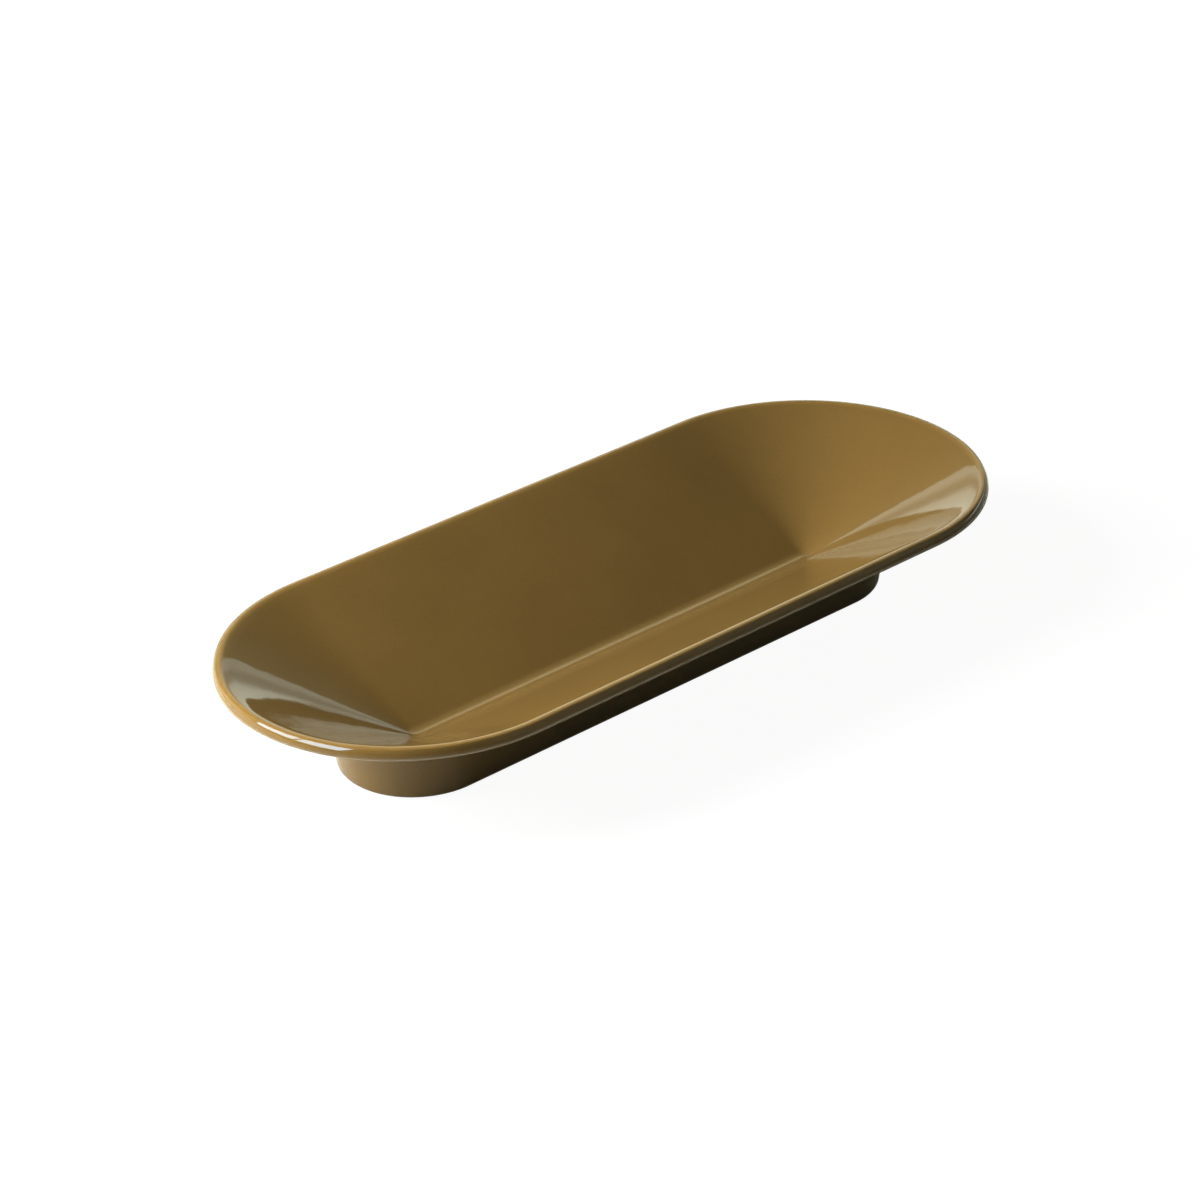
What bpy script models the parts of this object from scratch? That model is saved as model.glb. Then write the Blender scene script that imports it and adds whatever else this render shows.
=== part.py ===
"""Long obround serving bowl of lacquered wood, in metres, +Z up, standing on the plane z = 0.

The dish is a valley: two flat slopes that run into a half cone at each end, in one even wall. Its
rim rolls over a narrow crown to a convex outer face. It is glued on a foot band whose top is
scribed to the sloping underside. A board lies in a rebate under the foot and carries the felt pads
that the bowl stands on.

X runs along the bowl, and the origin is on the table under its middle. Every obround piece is an
(r, z) profile carried round the same centre line: straight for the middle, turned at both ends.
"""

import math

import bmesh
import bpy

# Dish
LENGTH = 0.520  # over the rim
WIDTH = 0.220  # over the rim
HEIGHT = 0.070  # table to the top of the rim
WALL = 0.0081  # square to the slope
VALLEY_RADIUS = 0.0135  # fillet along the bottom of the inside

# Rim, from the inside out; a tilt is the way its surface faces, 0 outwards and a right angle up
ROLL_RADIUS = 0.013  # where the inside runs up to the crown
ROLL_TURN = math.radians(12)  # how far the roll turns the inside over
CROWN_RADIUS = 0.0045  # top of the rim
CROWN_TILT = math.radians(72)  # where the crown ends and the lip begins
LIP_RADIUS = 0.0010  # soft edge between the crown and the outer face
FACE_TILT = math.radians(38)  # where the lip ends and the face begins
CHIN_RADIUS = 0.0014  # lower edge of the face

# Foot band
FOOT_WIDTH = 0.0904  # where the outer faces would meet the underside, before it is rounded
FOOT_LEAN = math.radians(9.0)  # outer face, outwards going up
FOOT_WALL = 0.0115  # at the underside
FOOT_EDGE_RADIUS = 0.0033  # outer lower edge
REBATE_EASING = 0.0006  # chamfer round the mouth of the rebate

# Bottom board
BOARD_THICKNESS = 0.0035
BOARD_LEDGE = 0.0040  # width of the foot's ledge above the board
BOARD_EASING = 0.0006  # chamfer round the board's lower edge
KEEL_CLEARANCE = 0.0022  # board to the lowest line of the dish

# Felt pads
PAD_DIAMETER = 0.016
PAD_THICKNESS = 0.0020
PAD_PROUD = 0.0008  # lifts the foot band off the table
PAD_MARGIN = 0.0050  # pad to the edge of the board
PAD_TURN = math.radians(60)  # round the end of the board, from its tip
PAD_EDGE_RADIUS = 0.0003

GLUE_GAP = 0.0003  # between pieces that are glued together

# Smoothness of the round surfaces
END_STEPS = 48  # in each half turn
RIM_STEPS = (2, 4, 3, 4, 3)  # roll, crown, lip, face and chin
VALLEY_STEPS = 4
FOOT_EDGE_STEPS = 5
PAD_SIDES = 32
PAD_EDGE_STEPS = 2
MERGE_DISTANCE = 1e-6
SHARP_ANGLE = math.radians(25)

# Linear RGB
LACQUER_COLOUR = (0.225, 0.130, 0.035)
BOARD_COLOUR = (0.030, 0.022, 0.011)
FELT_COLOUR = (0.016, 0.014, 0.011)

RIGHT_ANGLE = math.pi / 2
SLOPE_ROUNDS = 12

# Heights from the table up, and the centre line that all obround pieces share
HALF_STRAIGHT = (LENGTH - WIDTH) / 2
FOOT_BOTTOM = PAD_PROUD
BOARD_BOTTOM = PAD_THICKNESS + GLUE_GAP
BOARD_TOP = BOARD_BOTTOM + BOARD_THICKNESS
KEEL_BOTTOM = BOARD_TOP + KEEL_CLEARANCE
KEEL_RADIUS = VALLEY_RADIUS + WALL
VALLEY_CENTRE = (0.0, KEEL_BOTTOM + KEEL_RADIUS)

# Radii of the foot and of what is let into it
FOOT_RADIUS = FOOT_WIDTH / 2
FOOT_INNER_RADIUS = FOOT_RADIUS - FOOT_WALL
REBATE_RADIUS = FOOT_INNER_RADIUS + BOARD_LEDGE
BOARD_RADIUS = REBATE_RADIUS - GLUE_GAP


def arc(centre, radius, start, end, steps):
    """Points of an arc in the (r, z) plane, with angles counted from +r towards +z."""
    angles = [start + (end - start) * step / steps for step in range(steps + 1)]
    return [
        (centre[0] + radius * math.cos(angle), centre[1] + radius * math.sin(angle))
        for angle in angles
    ]


def rim_arcs(slope):
    """The rim over a wall of the given slope: roll, crown, lip, face and chin, as arcs.

    The wall is as thick at the chin as at the roll, which gives the radius of the face. Each arc
    starts where the last one ends; the crown touches the bowl's height and the face its width.
    """
    inside = slope + RIGHT_ANGLE
    tilts = (inside, inside - ROLL_TURN, CROWN_TILT, FACE_TILT, 0.0, slope - RIGHT_ANGLE)
    drops = [math.sin(start - slope) - math.sin(end - slope) for start, end in zip(tilts, tilts[1:])]
    roll_drop, crown_drop, lip_drop, face_drop, chin_drop = drops
    rest = WALL - ROLL_RADIUS * roll_drop - CROWN_RADIUS * crown_drop
    face_radius = (rest - LIP_RADIUS * lip_drop - CHIN_RADIUS * chin_drop) / face_drop
    radii = (ROLL_RADIUS, CROWN_RADIUS, LIP_RADIUS, face_radius, CHIN_RADIUS)

    centres = [(0.0, 0.0)]
    for radius, following, tilt in zip(radii, radii[1:], tilts[1:]):
        across, up = centres[-1]
        step = radius - following
        centres.append((across + step * math.cos(tilt), up + step * math.sin(tilt)))
    _, crown, _, face, _ = centres
    shift_across = WIDTH / 2 - face_radius - face[0]
    shift_up = HEIGHT - CROWN_RADIUS - crown[1]
    placed = [(across + shift_across, up + shift_up) for across, up in centres]
    return list(zip(placed, radii, tilts, tilts[1:]))


def wall_slope():
    """Slope of the line tangent to the valley's fillet and to the roll, which lean on each other."""
    slope = 0.0
    for _ in range(SLOPE_ROUNDS):
        roll_centre = rim_arcs(slope)[0][0]
        across = roll_centre[0] - VALLEY_CENTRE[0]
        up = roll_centre[1] - VALLEY_CENTRE[1]
        reach = VALLEY_RADIUS + ROLL_RADIUS
        slope = math.atan2(up, across) + math.asin(reach / math.hypot(across, up))
    return slope


SLOPE = wall_slope()


def seat_height(radius):
    """Height of the foot's scribed top, one glue gap under the dish's sloping underside."""
    reach = (KEEL_RADIUS + GLUE_GAP) / math.cos(SLOPE)
    return VALLEY_CENTRE[1] - reach + radius * math.tan(SLOPE)


def dish_profile():
    """Up the inside from the valley, over the rim and back down the underside to the keel."""
    valley = arc(VALLEY_CENTRE, VALLEY_RADIUS, -RIGHT_ANGLE, SLOPE - RIGHT_ANGLE, VALLEY_STEPS)
    rim = []
    for (centre, radius, start, end), steps in zip(rim_arcs(SLOPE), RIM_STEPS):
        rim = rim[:-1] + arc(centre, radius, start, end, steps)
    keel = arc(VALLEY_CENTRE, KEEL_RADIUS, SLOPE - RIGHT_ANGLE, -RIGHT_ANGLE, VALLEY_STEPS)
    return valley + rim + keel


def foot_profile():
    """From the top of the leaning outer face down to the table side, the rebate and the inside."""
    lean = math.tan(FOOT_LEAN)
    pitch = math.tan(SLOPE)
    seat_at_base = seat_height(FOOT_RADIUS - FOOT_BOTTOM * lean)
    top = seat_at_base / (1 - pitch * lean)
    outer_top = (FOOT_RADIUS + (top - FOOT_BOTTOM) * lean, top)

    inset = FOOT_EDGE_RADIUS * (1 - math.sin(FOOT_LEAN)) / math.cos(FOOT_LEAN)
    edge_centre = (FOOT_RADIUS - inset, FOOT_BOTTOM + FOOT_EDGE_RADIUS)
    edge = arc(edge_centre, FOOT_EDGE_RADIUS, -FOOT_LEAN, -RIGHT_ANGLE, FOOT_EDGE_STEPS)

    ledge = BOARD_TOP + GLUE_GAP
    rebate = [
        (REBATE_RADIUS + REBATE_EASING, FOOT_BOTTOM),
        (REBATE_RADIUS, FOOT_BOTTOM + REBATE_EASING),
        (REBATE_RADIUS, ledge),
        (FOOT_INNER_RADIUS, ledge),
    ]
    inner_top = (FOOT_INNER_RADIUS, seat_height(FOOT_INNER_RADIUS))
    return [outer_top] + edge + rebate + [inner_top]


def board_profile():
    return [
        (0.0, BOARD_TOP),
        (BOARD_RADIUS, BOARD_TOP),
        (BOARD_RADIUS, BOARD_BOTTOM + BOARD_EASING),
        (BOARD_RADIUS - BOARD_EASING, BOARD_BOTTOM),
        (0.0, BOARD_BOTTOM),
    ]


def half_obround(profile, is_ring):
    """One half of an obround piece: the profile turned round the end at +X and run to the middle."""
    bm = bmesh.new()
    points = [bm.verts.new((HALF_STRAIGHT, -radius, height)) for radius, height in profile]
    pairs = list(zip(points, points[1:]))
    if is_ring:
        pairs.append((points[-1], points[0]))
    edges = [bm.edges.new(pair) for pair in pairs]
    bmesh.ops.spin(
        bm,
        geom=points + edges,
        cent=(HALF_STRAIGHT, 0, 0),
        axis=(0, 0, 1),
        angle=math.pi,
        steps=END_STEPS,
    )
    bmesh.ops.remove_doubles(bm, verts=bm.verts, dist=MERGE_DISTANCE)

    ends = [edge for edge in bm.edges if edge.is_boundary]
    straight = bmesh.ops.extrude_edge_only(bm, edges=ends)["geom"]
    middle = [item for item in straight if isinstance(item, bmesh.types.BMVert)]
    bmesh.ops.translate(bm, verts=middle, vec=(-HALF_STRAIGHT, 0, 0))
    bmesh.ops.recalc_face_normals(bm, faces=bm.faces)
    return bm


def mesh_from(bm, name, material):
    mesh = bpy.data.meshes.new(name)
    bm.to_mesh(mesh)
    bm.free()
    mesh.shade_smooth()
    mesh.set_sharp_from_angle(angle=SHARP_ANGLE)
    mesh.materials.append(material)
    return mesh


def add_piece(name, mesh, bowl, location=(0, 0, 0)):
    piece = bpy.data.objects.new(name, mesh)
    piece.location = location
    piece.parent = bowl
    bpy.context.scene.collection.objects.link(piece)
    return piece


def add_obround(name, profile, is_ring, material, bowl):
    """Both halves of an obround piece meet on the plane x = 0."""
    piece = add_piece(name, mesh_from(half_obround(profile, is_ring), name, material), bowl)
    mirror = piece.modifiers.new("Other half", "MIRROR")
    mirror.use_axis = (True, False, False)
    mirror.merge_threshold = MERGE_DISTANCE


def felt_pad_mesh(material):
    """A die-cut disc, with its lower face at the object's origin and both edges a little rounded."""
    bm = bmesh.new()
    bmesh.ops.create_cone(
        bm,
        cap_ends=True,
        segments=PAD_SIDES,
        radius1=PAD_DIAMETER / 2,
        radius2=PAD_DIAMETER / 2,
        depth=PAD_THICKNESS,
    )
    bmesh.ops.translate(bm, verts=bm.verts, vec=(0, 0, PAD_THICKNESS / 2))
    rims = [edge for edge in bm.edges if any(len(face.verts) > 4 for face in edge.link_faces)]
    bmesh.ops.bevel(
        bm, geom=rims, offset=PAD_EDGE_RADIUS, segments=PAD_EDGE_STEPS, profile=0.5, affect="EDGES"
    )
    return mesh_from(bm, "felt_pad", material)


def add_felt_pads(material, bowl):
    """Two pads round each end of the board, clear of its edge."""
    mesh = felt_pad_mesh(material)
    offset = BOARD_RADIUS - PAD_MARGIN - PAD_DIAMETER / 2
    along = HALF_STRAIGHT + offset * math.cos(PAD_TURN)
    across = offset * math.sin(PAD_TURN)
    for end, x in (("left", -along), ("right", along)):
        for side, y in (("front", -across), ("back", across)):
            add_piece(f"felt_pad_{side}_{end}", mesh, bowl, (x, y, 0))


def make_material(name, colour, roughness, coat=0.0):
    material = bpy.data.materials.new(name)
    material.use_nodes = True
    shader = material.node_tree.nodes["Principled BSDF"]
    shader.inputs["Base Color"].default_value = (*colour, 1.0)
    shader.inputs["Metallic"].default_value = 0.0
    shader.inputs["Roughness"].default_value = roughness
    shader.inputs["Coat Weight"].default_value = coat
    return material


def clear_scene():
    for obj in list(bpy.data.objects):
        bpy.data.objects.remove(obj)


def main():
    clear_scene()
    bowl = bpy.data.objects.new("serving_bowl", None)
    bpy.context.scene.collection.objects.link(bowl)

    dish_lacquer = make_material("dish_lacquer", LACQUER_COLOUR, roughness=0.12, coat=1.0)
    foot_lacquer = make_material("foot_lacquer", LACQUER_COLOUR, roughness=0.14, coat=1.0)
    board_lacquer = make_material("board_lacquer", BOARD_COLOUR, roughness=0.40)
    felt = make_material("felt", FELT_COLOUR, roughness=0.95)

    add_obround("dish", dish_profile(), False, dish_lacquer, bowl)
    add_obround("foot_band", foot_profile(), True, foot_lacquer, bowl)
    add_obround("bottom_board", board_profile(), False, board_lacquer, bowl)
    add_felt_pads(felt, bowl)


if __name__ == "__main__":
    main()
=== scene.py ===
"""Long obround serving bowl in gloss lacquer, laid out as an add-on.

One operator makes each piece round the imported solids: the valley dish, the foot band under it, the
board that closes the foot and the felt pads. One more sets the studio: floor, light and camera.
Every obround piece is an (r, z) profile carried round the same centre line by one node tree.
"""

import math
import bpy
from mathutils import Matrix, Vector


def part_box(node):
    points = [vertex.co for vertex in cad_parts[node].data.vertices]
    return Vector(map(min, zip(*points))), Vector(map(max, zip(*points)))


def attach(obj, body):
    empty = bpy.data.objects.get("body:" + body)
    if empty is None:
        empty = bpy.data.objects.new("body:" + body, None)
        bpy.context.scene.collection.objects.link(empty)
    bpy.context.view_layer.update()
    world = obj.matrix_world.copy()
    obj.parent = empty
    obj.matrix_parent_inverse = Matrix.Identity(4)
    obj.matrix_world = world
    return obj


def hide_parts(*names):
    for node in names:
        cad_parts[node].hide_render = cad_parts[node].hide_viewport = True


bl_info = {
    "name": "Lacquered Serving Bowl",
    "version": (1, 0, 0),
    "blender": (4, 5, 0),
    "location": "View3D > Sidebar > Serving Bowl",
    "description": "Adds an obround lacquered bowl on a foot with felt pads, and a studio for it",
    "category": "Add Mesh",
}

import bpy
from bpy.props import FloatProperty, FloatVectorProperty, IntProperty, PointerProperty
from bpy.types import Operator, Panel, PropertyGroup
from mathutils import Matrix, Vector

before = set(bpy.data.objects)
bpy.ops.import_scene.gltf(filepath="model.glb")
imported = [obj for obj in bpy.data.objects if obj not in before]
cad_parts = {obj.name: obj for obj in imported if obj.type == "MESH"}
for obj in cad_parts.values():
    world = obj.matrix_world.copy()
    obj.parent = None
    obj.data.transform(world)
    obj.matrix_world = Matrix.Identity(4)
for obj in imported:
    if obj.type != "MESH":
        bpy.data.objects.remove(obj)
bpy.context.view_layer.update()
BODY = "root"

DISH_LOW, DISH_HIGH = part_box("dish")
FOOT_LOW, FOOT_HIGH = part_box("foot_band")
BOARD_LOW, BOARD_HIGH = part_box("bottom_board")
PAD_LOW, PAD_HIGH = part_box("felt_pad_back_right")
PAD_NODES = sorted(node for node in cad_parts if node.startswith("felt_pad"))

RIGHT_ANGLE = math.pi / 2
SHARP_ANGLE = math.radians(25.0)
MERGE_DISTANCE = 1e-6
FLAT_MARGIN = 0.0003  # a flat run's first and last points lie this close to its ends
SLOPE_ROUNDS = 12

# Steps along each stretch of a profile
VALLEY_STEPS = 24
INSIDE_STEPS = 12
RIM_STEPS = (8, 6, 10, 10, 14, 12)  # flare, roll, crown, lip, face and chin
CROWN, FACE = 2, 4  # their places among the rim's arcs
UNDERSIDE_STEPS = 10
KEEL_STEPS = 12
FOOT_FACE_STEPS = 6
FOOT_EDGE_STEPS = 14
BOARD_EASING_STEPS = 5
PAD_EDGE_STEPS = 4

# Felt pads
PAD_SIDES = 64
PAD_SHARP_ANGLE = math.radians(60.0)
FIBRE_DENSITY = 2.5e6  # to the square metre of felt
FIBRE_TILT = 1.2  # the most that a fibre leans each way, in radians
SHORTEST_FIBRE = 0.35  # as a share of the longest
FIBRE_SEED = 7

SENSOR_WIDTH = 36.0  # of the camera, in millimetres

# Sockets of the Mix node that share their names
MIX_NUMBER_A = 2
MIX_NUMBER_B = 3
MIX_COLOUR_A = 6
MIX_COLOUR_B = 7
MIX_COLOUR_RESULT = 2
BLACK = (0.0, 0.0, 0.0, 1.0)
WHITE = (1.0, 1.0, 1.0, 1.0)


def length_property(name, description, default):
    return FloatProperty(
        name=name, description=description, default=default, min=0.0, precision=4, unit="LENGTH"
    )


def angle_property(name, description, degrees):
    return FloatProperty(
        name=name, description=description, default=math.radians(degrees), subtype="ANGLE"
    )


def colour_property(name, description, default):
    return FloatVectorProperty(
        name=name, description=description, default=default, min=0.0, max=1.0, subtype="COLOR"
    )


def count_property(name, description, default):
    return IntProperty(name=name, description=description, default=default, min=1)


def share_property(name, description, default):
    return FloatProperty(name=name, description=description, default=default, min=0.0)


def power_property(name, description, default):
    return FloatProperty(
        name=name, description=description, default=default, min=0.0, unit="POWER"
    )


def place_property(name, description, default):
    return FloatVectorProperty(
        name=name, description=description, default=default, subtype="TRANSLATION", unit="LENGTH"
    )


class BowlSizes(PropertyGroup):
    """Sizes of the bowl's pieces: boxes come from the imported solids, the rest is set here."""

    half_straight: length_property(
        "Half Straight",
        "Half the straight run between the two round ends",
        ((DISH_HIGH.x - DISH_LOW.x) - (DISH_HIGH.y - DISH_LOW.y)) / 2,
    )
    rim_reach: length_property(
        "Rim Reach", "Centre line to the outside of the rim", (DISH_HIGH.y - DISH_LOW.y) / 2
    )
    rim_height: length_property("Rim Height", "Table to the top of the rim", DISH_HIGH.z)
    keel_height: length_property("Keel Height", "Table to the lowest line of the dish", DISH_LOW.z)
    wall: length_property("Wall", "Wall of the dish, square to the slope", 0.0081)
    flare_radius: length_property("Flare Radius", "Slack round of the inside near the rim", 0.080)
    flare_turn: angle_property("Flare Turn", "How far the slack round turns the inside over", 3.5)
    roll_radius: length_property("Roll Radius", "Round where the inside meets the crown", 0.013)
    roll_turn: angle_property("Roll Turn", "How far both rounds turn the inside over", 12.0)
    crown_radius: length_property("Crown Radius", "Round of the top of the rim", 0.0045)
    crown_turn: angle_property("Crown Turn", "Tilt of the crown where it meets the lip", 72.0)
    lip_radius: length_property("Lip Radius", "Soft edge between the crown and the face", 0.0010)
    face_turn: angle_property("Face Turn", "Tilt of the rim's outer face under the lip", 38.0)
    chin_radius: length_property("Chin Radius", "Round of the rim's lower edge", 0.0014)
    valley_radius: length_property("Valley Radius", "Fillet along the bottom of the inside", 0.0135)

    foot_reach: length_property(
        "Foot Reach", "Centre line to the foot's outer top edge", (FOOT_HIGH.y - FOOT_LOW.y) / 2
    )
    foot_bottom: length_property("Foot Bottom", "Table to the underside of the foot", FOOT_LOW.z)
    foot_lean: angle_property("Foot Lean", "How far the foot's outer face leans outwards", 9.0)
    foot_wall: length_property("Foot Wall", "Wall of the foot at its underside", 0.0115)
    foot_edge_radius: length_property("Foot Edge", "Round of the foot's outer lower edge", 0.0033)
    rebate_easing: length_property("Rebate Easing", "Chamfer round the mouth of the rebate", 0.0006)

    board_reach: length_property(
        "Board Reach", "Centre line to the edge of the board", (BOARD_HIGH.y - BOARD_LOW.y) / 2
    )
    board_bottom: length_property("Board Bottom", "Table to the board's lower face", BOARD_LOW.z)
    board_top: length_property("Board Top", "Table to the board's upper face", BOARD_HIGH.z)
    board_easing: length_property("Board Easing", "Round of the board's lower edge", 0.0006)

    pad_radius: length_property("Pad Radius", "Radius of a felt disc", (PAD_HIGH.x - PAD_LOW.x) / 2)
    pad_height: length_property("Pad Height", "Thickness of a felt disc", PAD_HIGH.z - PAD_LOW.z)
    pad_edge_radius: length_property("Pad Edge", "Round of a felt disc's edges", 0.0003)
    pad_along: length_property(
        "Pad Along", "Middle of the bowl to a pad, along it", (PAD_LOW.x + PAD_HIGH.x) / 2
    )
    pad_across: length_property(
        "Pad Across", "Middle of the bowl to a pad, across it", (PAD_LOW.y + PAD_HIGH.y) / 2
    )
    fibre_length: length_property("Fibre Length", "Longest loose fibre on the felt", 0.0011)
    fibre_radius: length_property("Fibre Radius", "Thickness of a loose fibre at its root", 0.00004)

    glue_gap: length_property("Glue Gap", "Gap between pieces that are glued together", 0.0003)

    end_steps: count_property("End Steps", "Facets round each half turn", 192)
    straight_steps: count_property("Straight Steps", "Facets along each straight run", 64)


class BowlFinish(PropertyGroup):
    """Colours of the finishes, in linear RGB."""

    lacquer: colour_property("Lacquer", "Lacquer of the dish and foot", (0.225, 0.132, 0.035))
    # Pale lip colour: thinner lacquer on top of the rim, made brighter still as a painted highlight
    # along the crown
    lip_lacquer_and_highlight: colour_property("Lip", "Thinner lacquer on top of the rim", (0.31, 0.180, 0.0465))
    lacquer_scuff: colour_property("Scuff", "Lacquer rubbed by the table", (0.30, 0.19, 0.07))
    dust: colour_property("Dust", "Specks of dust under the last coat", (0.55, 0.47, 0.33))
    board: colour_property("Board", "Satin lacquer of the bottom board", (0.030, 0.022, 0.011))
    felt: colour_property("Felt", "Wool felt of the pads", (0.016, 0.014, 0.011))
    felt_fleck: colour_property("Felt Fleck", "Paler wool in the felt", (0.050, 0.045, 0.038))


class StageSettings(PropertyGroup):
    """The camera, and the studio round the bowl."""

    azimuth: angle_property("Azimuth", "Turn of the camera's view from +Y towards +X", 40.767)
    elevation: angle_property("Elevation", "Camera above the table, seen from the bowl", 28.267)
    roll: angle_property("Roll", "Turn of the camera round its own view", 1.838)
    lens: FloatProperty(
        name="Lens", description="Focal length on a 36 mm sensor", default=105.59, unit="CAMERA"
    )
    camera_place: place_property("Camera", "Place of the camera", (-1.17236, -1.34453, 1.00265))

    key_place: place_property(
        "Key", "Place of the key lamp, which faces the bowl", (-0.944, 0.545, 0.708)
    )
    key_size: length_property("Key Size", "Side of the square key lamp", 0.80)
    key_power: power_property("Key Power", "Radiant power of the key lamp", 33.7)
    softbox_place: place_property(
        "Softbox", "Place of the softbox, which faces the bowl", (-1.330, 0.307, 0.622)
    )
    softbox_width: length_property("Softbox Width", "Width of the softbox, over both panels", 1.30)
    softbox_height: length_property("Softbox Height", "Height of the softbox", 0.556)
    softbox_gap: length_property("Softbox Gap", "Frame between the softbox's two panels", 0.05)
    softbox_power: power_property("Softbox Power", "Radiant power of the softbox, in gloss", 32.5)
    softbox_colour: colour_property("Softbox Light", "Cool light of the panels", (0.60, 0.80, 0.96))

    room_colour: colour_property("Room", "Dim room round the studio", (0.066, 0.088, 0.056))
    room_share: share_property("Room Share", "Part of the room's light outside gloss", 0.33)
    backdrop_turn: angle_property("Backdrop Turn", "Way to the backdrop, from +X towards +Y", 64.0)
    backdrop_top: angle_property("Backdrop Top", "Backdrop's upper edge, seen from the bowl", 25.3)
    again_turn: angle_property("Second Turn", "Backdrop Turn in a second reflection", 67.4)
    again_top: angle_property("Second Top", "Backdrop Top in a second reflection", 30.5)
    backdrop_colour: colour_property("Backdrop", "Backdrop, as gloss shows it", (0.95, 1.0, 0.82))
    backdrop_level: share_property("Backdrop Level", "Brightness of the backdrop", 1.5)
    spot_turn: angle_property("Spot Turn", "Way to the lit patch of wall, from +X towards +Y", 46.0)
    spot_rise: angle_property("Spot Rise", "Middle of the lit patch, seen from the bowl", 27.0)
    spot_reach: share_property("Spot Reach", "Radius of the lit patch, in radians", 0.36)
    spot_colour: colour_property("Spot", "Warm light above the backdrop", (1.0, 0.87, 0.51))
    front_turn: angle_property("Front Turn", "Way to the front wall, from +X towards +Y", -52.0)
    front_rise: angle_property("Front Rise", "Middle of the front wall, seen from the bowl", 12.0)
    front_colour: colour_property("Front", "Warm wall at the front", (1.0, 0.88, 0.58))

    floor_size: length_property("Floor Size", "Side of the square floor", 14.0)
    floor_colour: colour_property("Floor", "Floor that lights the underside", (0.55, 0.55, 0.51))
    floor_tint: colour_property("Floor Tint", "Lit floor, as gloss shows it", (1.0, 1.0, 0.86))
    floor_glow: colour_property("Floor Glow", "Least of the floor in gloss", (0.045, 0.05, 0.04))


class NodeGraph:
    """Builds a node tree in short steps: each call adds a node and feeds its sockets."""

    def __init__(self, tree):
        self.tree = tree

    def add(self, kind, feeds=None, **settings):
        node = self.tree.nodes.new(kind)
        for name, value in settings.items():
            setattr(node, name, value)
        for socket, value in (feeds or {}).items():
            self.feed(node.inputs[socket], value)
        return node

    def feed(self, socket, value):
        """A socket is linked, and anything else becomes the socket's own value."""
        if isinstance(value, bpy.types.NodeSocket):
            self.tree.links.new(value, socket)
        else:
            socket.default_value = value

    def group(self, tree, feeds):
        node = self.add("GeometryNodeGroup", node_tree=tree)
        for socket, value in feeds.items():
            self.feed(node.inputs[socket], value)
        return node.outputs[0]

    def math(self, operation, *values):
        return self.add("ShaderNodeMath", dict(enumerate(values)), operation=operation).outputs[0]

    def add_up(self, first, *others):
        total = first
        for value in others:
            total = self.math("ADD", total, value)
        return total

    def clamp(self, value, low, high):
        return self.add("ShaderNodeClamp", {"Value": value, "Min": low, "Max": high}).outputs[0]

    def ramp(self, value, low, high, to_low=0.0, to_high=1.0):
        """A smooth step from one level to another as the value goes from low to high."""
        feeds = {
            "Value": value,
            "From Min": low,
            "From Max": high,
            "To Min": to_low,
            "To Max": to_high,
        }
        return self.add("ShaderNodeMapRange", feeds, interpolation_type="SMOOTHSTEP").outputs[0]

    def mix(self, factor, first, second):
        """From the first colour to the second."""
        feeds = {"Factor": factor, MIX_COLOUR_A: first, MIX_COLOUR_B: second}
        return self.add("ShaderNodeMix", feeds, data_type="RGBA").outputs[MIX_COLOUR_RESULT]

    def choose(self, factor, first, second):
        """From the first number to the second."""
        feeds = {"Factor": factor, MIX_NUMBER_A: first, MIX_NUMBER_B: second}
        return self.add("ShaderNodeMix", feeds).outputs[0]

    def dot(self, vector, axis):
        feeds = {0: vector, 1: axis}
        return self.add("ShaderNodeVectorMath", feeds, operation="DOT_PRODUCT").outputs["Value"]

    def distance(self, vector, point):
        feeds = {0: vector, 1: point}
        return self.add("ShaderNodeVectorMath", feeds, operation="DISTANCE").outputs["Value"]

    def scale(self, colour, strength):
        feeds = {0: colour, "Scale": strength}
        return self.add("ShaderNodeVectorMath", feeds, operation="SCALE").outputs[0]

    def lighten(self, first, second):
        """The sum of two colours."""
        return self.add("ShaderNodeVectorMath", {0: first, 1: second}, operation="ADD").outputs[0]

    def overlay(self, first, second):
        """The sum of two shaders."""
        return self.add("ShaderNodeAddShader", {0: first, 1: second}).outputs[0]

    def switch(self, factor, first, second):
        """From the first shader to the second."""
        return self.add("ShaderNodeMixShader", {0: factor, 1: first, 2: second}).outputs[0]

    def noise(self, coords, scale, detail=2.0):
        feeds = {"Vector": coords, "Scale": scale, "Detail": detail}
        return self.add("ShaderNodeTexNoise", feeds).outputs[0]

    def diffuse(self, colour):
        return self.add("ShaderNodeBsdfDiffuse", {"Color": colour}).outputs[0]

    def tint(self, colour, value):
        feeds = {"Color": colour, "Value": value}
        return self.add("ShaderNodeHueSaturation", feeds).outputs[0]

    def split(self, vector):
        return self.add("ShaderNodeSeparateXYZ", {0: vector}).outputs

    def combine(self, x, y, z):
        return self.add("ShaderNodeCombineXYZ", {0: x, 1: y, 2: z}).outputs[0]

    def bump(self, height, distance, normal=None):
        feeds = {"Height": height, "Distance": distance}
        if normal is not None:
            feeds["Normal"] = normal
        return self.add("ShaderNodeBump", feeds).outputs[0]


def rgba(colour):
    return (*colour, 1.0)


# Geometry Nodes


def new_tree(name, sockets):
    """A Geometry Nodes tree with one geometry in and out, and the named inputs between."""
    tree = bpy.data.node_groups.new(name, "GeometryNodeTree")
    tree.interface.new_socket("Geometry", in_out="INPUT", socket_type="NodeSocketGeometry")
    tree.interface.new_socket("Geometry", in_out="OUTPUT", socket_type="NodeSocketGeometry")
    for socket, kind in sockets.items():
        tree.interface.new_socket(socket, in_out="INPUT", socket_type=kind)
    return tree


def capture(graph, geometry, **fields):
    """Geometry that carries the fields, with one output for each by name."""
    node = graph.add("GeometryNodeCaptureAttribute", {"Geometry": geometry})
    for name, field in fields.items():
        kind = "VECTOR" if field.type == "VECTOR" else "FLOAT"
        node.capture_items.new(kind, name)
        graph.feed(node.inputs[name], field)
    return node.outputs


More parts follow.
